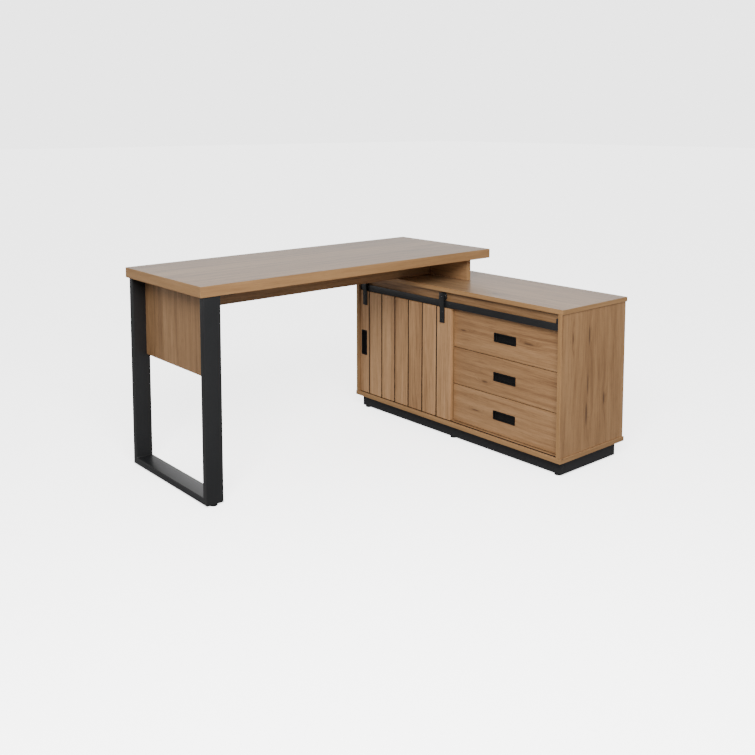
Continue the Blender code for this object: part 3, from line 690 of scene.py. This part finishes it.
def let_in_pull(node, body, length_axis):
    """The cup, built flat and then turned so that its mouth faces the front."""
    low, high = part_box(node)
    size = high - low
    length = size[length_axis]
    width = size[Y + Z - length_axis]
    shape = bmesh.new()
    bmesh.ops.create_cube(shape, size=1)
    bmesh.ops.scale(shape, verts=shape.verts, vec=(length, width, PULL_PROUD))
    outer_lines = [e for e in shape.edges
                   if abs(e.verts[0].co.z - e.verts[1].co.z) > PULL_PROUD / 2]
    mouth = min(shape.faces, key=lambda face: face.normal.z)
    back = max(shape.faces, key=lambda face: face.normal.z)
    back_steps = ((PULL_RIM - PULL_WALL, 0), (0.0002, size.x - PULL_PROUD))
    for side, steps in ((mouth, CUP_STEPS), (back, back_steps)):
        for inset, push in steps:
            bmesh.ops.inset_region(shape, faces=[side], thickness=inset, use_even_offset=True)
            bmesh.ops.translate(shape, verts=side.verts, vec=(0, 0, push))
    cup_lines = [e for e in pull_corner_lines(shape, length, PULL_RIM - 0.0005)
                 if min(v.co.z for v in e.verts) < CUP_LINES_END]
    ease(shape, outer_lines, PULL_CORNER, 5)
    ease(shape, cup_lines, CUP_CORNER, 3)
    front_z = -PULL_PROUD / 2
    front_rim = [e for e in shape.edges
                 if all(abs(v.co.z - front_z) < 0.00001 for v in e.verts)
                 and any(abs(face.normal.z) < 0.1 for face in e.link_faces)
                 and any(face.normal.z < -0.9 for face in e.link_faces)]
    ease(shape, front_rim, RIM_EASE, 3)
    turn = Matrix(((0, 0, 1), (1, 0, 0), (0, 1, 0)))
    if length_axis == Z:
        turn = Matrix.Rotation(pi / 2, 3, "X") @ turn
    bmesh.ops.rotate(shape, verts=shape.verts, cent=(0, 0, 0), matrix=turn)
    centre = (low + high) / 2
    bmesh.ops.translate(shape, verts=shape.verts,
                        vec=(low.x + PULL_PROUD / 2, centre.y, centre.z))
    make(node + "_moulded", shape, [pull_plastic], [node], body, radians(32))


pull_plastic = moulded("pull_plastic", (0.0045, 0.0045, 0.005), 0.40, 0.22)
let_in_pull("door_pull", "door", Z)
for level in ("bottom", "middle", "top"):
    let_in_pull("drawer_pull_" + level, "drawer_" + level, Y)

# ---- Sliding door ----
# One 18 mm panel with six routed grooves, so that it reads as seven upright planks, each with
# its own print. A pocket for the pull is let into the first plank.

door_low, door_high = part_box("door_panel")
FIRST_GROOVE = 0.0606
PLANK_PITCH = 0.0858
GROOVE_HALF = 0.0035
GROOVE_DEPTH = 0.005
PLANK_EASE = 0.0010
groove_middles = [door_high.y - FIRST_GROOVE - number * PLANK_PITCH for number in range(6)]
floor_x = door_low.x + GROOVE_DEPTH
profile = [(door_high.x, door_high.y), (door_low.x, door_high.y)]
for middle in groove_middles:
    profile += [(door_low.x, middle + GROOVE_HALF), (floor_x, middle + GROOVE_HALF),
                (floor_x, middle - GROOVE_HALF), (door_low.x, middle - GROOVE_HALF)]
profile += [(door_low.x, door_low.y), (door_high.x, door_low.y)]
door_shape = prism([(x, y, door_low.z) for x, y in profile], (0, 0, door_high.z - door_low.z))
outer_edges = [e for e in door_shape.edges
               if not all(abs(v.co.x - floor_x) < 0.0001 for v in e.verts)
               and abs(e.verts[0].co.z - e.verts[1].co.z) > 0.1]
ease(door_shape, outer_edges, PLANK_EASE, 2)

POCKET_LIP, POCKET_PLAY = 0.0030, 0.0004


def pocket(shape, node, face_x):
    """The routed pocket behind a pull's rim."""
    low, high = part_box(node)
    lip = Vector((0, POCKET_LIP, POCKET_LIP))
    sink(shape, X, -1, low + lip, high - lip, high.x - face_x + POCKET_PLAY)


pocket(door_shape, "door_pull", door_low.x)
DOOR_BOARD = 20


def plank_at(y):
    """Which plank, counted from the pull's, a place across the door is on."""
    return sum(y < middle for middle in groove_middles)


lay_grain(door_shape, Z, DOOR_BOARD, lambda centre: plank_at(centre.y))
# The plank grooves' faces get the painted shade.
paint_groove_shade(door_shape, lambda spot: door_low.x + 0.0008 < spot.x < floor_x + 0.0002
             and any(abs(spot.y - middle) < GROOVE_HALF + 0.0002 for middle in groove_middles))
KNOT_Y, KNOT_Z = 0.326, 0.148
oak_door = oak("oak_door", (1.28, 1.27, 1.27), 0.95, 0.25, [
    (*print_place(DOOR_BOARD + plank_at(KNOT_Y), KNOT_Z, KNOT_Y, X), 0.0055, 1.8)])
make("door_panel_laminate", door_shape, [oak_door, oak_band, groove_shade.material], ["door_panel"],
     "door")

# ---- Hangers ----
# A bent black steel strap screwed to the door, with a grooved nylon roller on an axle bolt
# behind it. The two rollers carry the door on the rail.

roller_look = moulded("roller_nylon", (0.010, 0.010, 0.0105), 0.34)
bolt_look = powder_coat("black_bolt", (0.012, 0.012, 0.013), 0.28)
JOG_LOW, JOG_HIGH = 0.5445, 0.5510
STRAP_EASE = 0.0006
GROOVE_REACH = 0.003
STRAP_SCREWS = (0.013, 0.045)
for side in ("left", "right"):
    low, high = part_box("hanger_strap_" + side)
    sheet = (high.x - low.x) / 2
    strap = prism([(x, low.y, z) for x, z in (
        (low.x + sheet, low.z), (high.x, low.z), (high.x, JOG_LOW), (high.x - sheet, JOG_HIGH),
        (high.x - sheet, high.z), (low.x, high.z), (low.x, JOG_HIGH), (low.x + sheet, JOG_LOW))],
        (0, high.y - low.y, 0))
    ease(strap, strap.edges, STRAP_EASE, 2)
    make("hanger_strap_%s_coated" % side, strap, [black_steel], ["hanger_strap_" + side], "door",
         radians(30))

    wheel_low, wheel_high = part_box("roller_" + side)
    centre = (wheel_low + wheel_high) / 2
    outer, half = (wheel_high.z - wheel_low.z) / 2, (wheel_high.x - wheel_low.x) / 2
    inner = outer - GROOVE_REACH
    wheel = spun([(0.0032, half), (0.0085, half), (0.0090, half - 0.0010), (0.0135, half - 0.0010),
                  (0.0140, half), (outer - 0.0006, half), (outer, half - 0.0006),
                  (outer, 0.0040), (outer - 0.0004, 0.0036), (inner, 0.0029), (inner, -0.0029),
                  (outer - 0.0004, -0.0036), (outer, -0.0040), (outer, 0.0006 - half),
                  (outer - 0.0006, -half), (0.0140, -half), (0.0135, 0.0010 - half),
                  (0.0090, 0.0010 - half), (0.0085, -half), (0.0032, -half)], 48, X, centre)
    make("roller_%s_nylon" % side, wheel, [roller_look], ["roller_" + side],
         "door_roller_" + side, radians(35))

    axle_low, axle_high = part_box("roller_axle_" + side)
    shank = axle_high.x - axle_low.x
    axle = spun([(0, shank), (0.0044, shank), (0.0050, shank - 0.0006), (0.0050, shank - 0.0025),
                 (0.003, shank - 0.0025), (0.003, 0.0030), (0.0065, 0.0030), (0.0065, 0.0022),
                 (0.0058, 0.0012), (0.0044, 0.0004), (0.0022, 0.0), (0.0018, 0.0009),
                 (0, 0.0009)], 40, X, (axle_low.x, centre.y, centre.z))
    make("roller_axle_%s_turned" % side, axle, [bolt_look], ["roller_axle_" + side], "door",
         radians(35))
    for height in STRAP_SCREWS:
        screw = spun([(0, 0.0016), (0.0043, 0.0016), (0.0043, 0.0012), (0.0036, 0.0003),
                      (0.0020, 0.0), (0.0016, 0.0007), (0, 0.0007)], 28, X,
                     (low.x + sheet - 0.0015, centre.y, low.z + height))
        make("hanger_screw_%s_%d" % (side, round(height * 1000)), screw, [bolt_look], [], "door",
             radians(35))

for side in ("left", "right"):
    low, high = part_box("door_guide_pin_" + side)
    reach = (high.x - low.x) / 2
    pin = spun([(0, high.z - low.z), (reach, high.z - low.z), (reach, 0.0010),
                (reach - 0.0010, 0), (0, 0)], 32, Z,
               ((low.x + high.x) / 2, (low.y + high.y) / 2, low.z))
    make("door_guide_pin_%s_moulded" % side, pin, [black_plastic], ["door_guide_pin_" + side],
         "door", radians(40))

# ---- Drawers ----
# Each front is an 18 mm oak-look board with level grain and a pocket for its pull, screwed to
# a pale laminated box with a thin bottom. The box sides are grooved for the runner strips.

FIRST_FRONT = 40
flecks = ((2, -0.403, 0.467, 0.0045, 7), (2, -0.065, 0.462, 0.0035, 6),
          (1, -0.183, 0.276, 0.0050, 4), (0, -0.135, 0.149, 0.0035, 7))
oak_drawer = oak("oak_drawer", (0.95, 0.91, 0.87), 1.05, 0.0, [
    (*print_place(FIRST_FRONT + number, y, z, X), width, stretch)
    for number, y, z, width, stretch in flecks])
pale_look = Finish("pale_laminate")
linen = (pale_look.noise(pale_look.place(60, 900, 60), 2.0)
         + pale_look.noise(pale_look.place(900, 60, 900), 2.0)) * 0.5
pale_look.set("Base Color", pale_look.blend(linen, (0.60, 0.585, 0.55), (0.74, 0.73, 0.70)))
pale_look.set("Roughness", 0.50 + linen * 0.12)
pale_look.bump(linen, 0.00006, 0.5)
FRONT_EASE, BOX_EASE, BOX_BOTTOM_EASE = 0.0007, 0.0005, 0.0004
BOX_WALL = 0.015
RUNNER_CUT, RUNNER_CUT_HALF = 0.0068, 0.009
for number, level in enumerate(("bottom", "middle", "top")):
    body = "drawer_" + level
    low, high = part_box("drawer_front_" + level)
    panel = block(low, high, FRONT_EASE)
    pocket(panel, "drawer_pull_" + level, low.x)
    lay_grain(panel, Y, FIRST_FRONT + number)
    make("drawer_front_%s_laminate" % level, panel, [oak_drawer], ["drawer_front_" + level], body)

    low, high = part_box("drawer_box_" + level)
    strip_low, strip_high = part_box("runner_%s_left" % level)
    cut_low = (strip_low.z + strip_high.z) / 2 - RUNNER_CUT_HALF
    cut_high = cut_low + 2 * RUNNER_CUT_HALF
    replaced = ["drawer_box_" + level]
    for side, outer, inwards in (("right", low.y, 1), ("left", high.y, -1)):
        inner, cut_y = outer + inwards * BOX_WALL, outer + inwards * RUNNER_CUT
        grooved = prism([(low.x, y, z) for y, z in (
            (outer, low.z), (inner, low.z), (inner, high.z), (outer, high.z),
            (outer, cut_high), (cut_y, cut_high), (cut_y, cut_low), (outer, cut_low))],
            (high.x - low.x, 0, 0))
        make("drawer_side_%s_%s" % (level, side), grooved, [pale_look.material], replaced, body)
        replaced = []
    for end, start_x in (("inner_front", low.x), ("rear", high.x - BOX_WALL)):
        cross = block((start_x, low.y + BOX_WALL, low.z),
                      (start_x + BOX_WALL, high.y - BOX_WALL, high.z), BOX_EASE)
        make("drawer_%s_%s" % (end, level), cross, [pale_look.material], [], body)
    box_bottom = block(*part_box("drawer_bottom_" + level), BOX_BOTTOM_EASE)
    make("drawer_bottom_%s_laminate" % level, box_bottom, [pale_look.material],
         ["drawer_bottom_" + level], body)

# ---- Runner strips ----
# Zinc-plated steel strips, two to a drawer, rolled and cut to length and screwed to the cabinet
# side and the partition.

RUNNER_EASE = 0.0010
zinc_look = Finish("zinc_plate", metallic=1.0)
spangle = zinc_look.noise(zinc_look.place(180, 180, 180))
zinc_look.set("Base Color", zinc_look.blend(spangle, (0.42, 0.43, 0.45), (0.58, 0.59, 0.60)))
zinc_look.set("Roughness", 0.30 + spangle * 0.18)
zinc_look.bump(spangle, 0.00003, 0.4)
for level in ("bottom", "middle", "top"):
    for side in ("left", "right"):
        node = "runner_%s_%s" % (level, side)
        make(node + "_rolled", block(*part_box(node), RUNNER_EASE, 3), [zinc_look.material], [node],
             smooth=radians(35))
